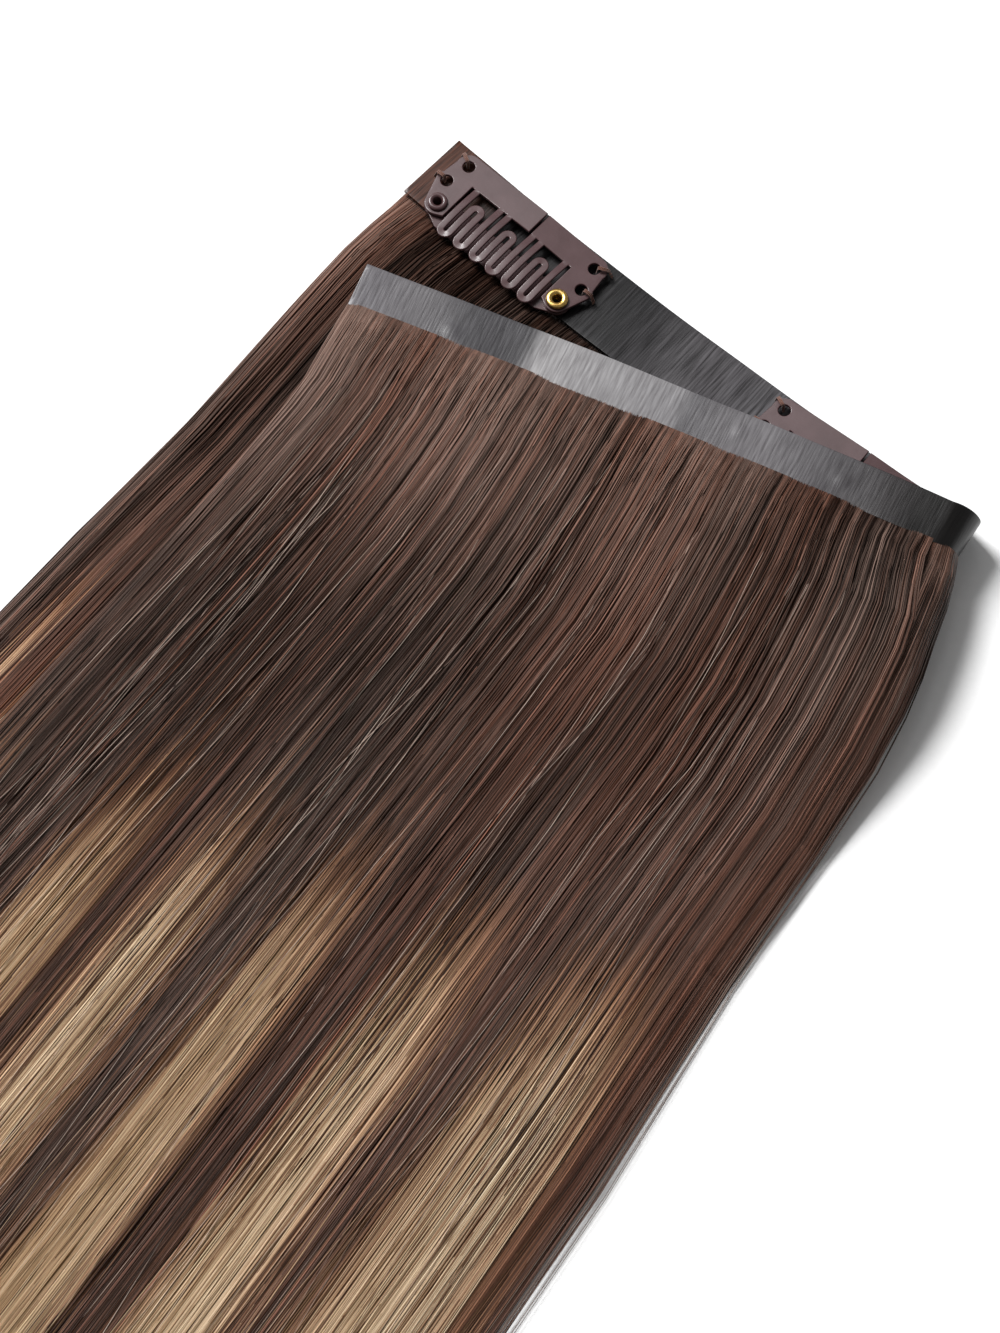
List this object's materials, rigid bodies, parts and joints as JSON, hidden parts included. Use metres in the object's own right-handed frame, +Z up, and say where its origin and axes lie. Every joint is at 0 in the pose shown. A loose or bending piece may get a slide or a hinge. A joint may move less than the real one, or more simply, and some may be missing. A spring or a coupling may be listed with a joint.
{
  "type": "clip-in hair extension",
  "caption": "Straight balayage hair bonded in a folded film band, with snap comb clips sewn to the band's inner face.",
  "frame": {"origin": "middle of the extension's bounding box, on the surface that it lies on", "axes": "+X along the band towards its fold, -Y along the hair towards its tips, +Z up"},
  "size_m": [0.1474, 0.4422, 0.0129],
  "materials": {
    "film": "glossy grey polyurethane film with fine streaks",
    "hair": "satin straight human hair, dark brown with caramel and beige balayage",
    "clip_paint": "satin mauve-brown paint on spring steel",
    "eyelet_brass": "polished brass"
  },
  "bodies": {
    "root": {"weft_band": "film", "hair_lower": "hair", "hair_upper": "hair", "clip_1_plate": "clip_paint", "clip_1_lower_bar": "clip_paint", "clip_1_rivet": "clip_paint", "clip_1_eyelet": "eyelet_brass", "clip_2_plate": "clip_paint", "clip_2_lower_bar": "clip_paint", "clip_2_rivet": "clip_paint", "clip_2_eyelet": "eyelet_brass", "clip_3_plate": "clip_paint", "clip_3_lower_bar": "clip_paint", "clip_3_rivet": "clip_paint", "clip_3_eyelet": "eyelet_brass", "clip_4_plate": "clip_paint", "clip_4_lower_bar": "clip_paint", "clip_4_rivet": "clip_paint", "clip_4_eyelet": "eyelet_brass"}
  },
  "joints": []
}
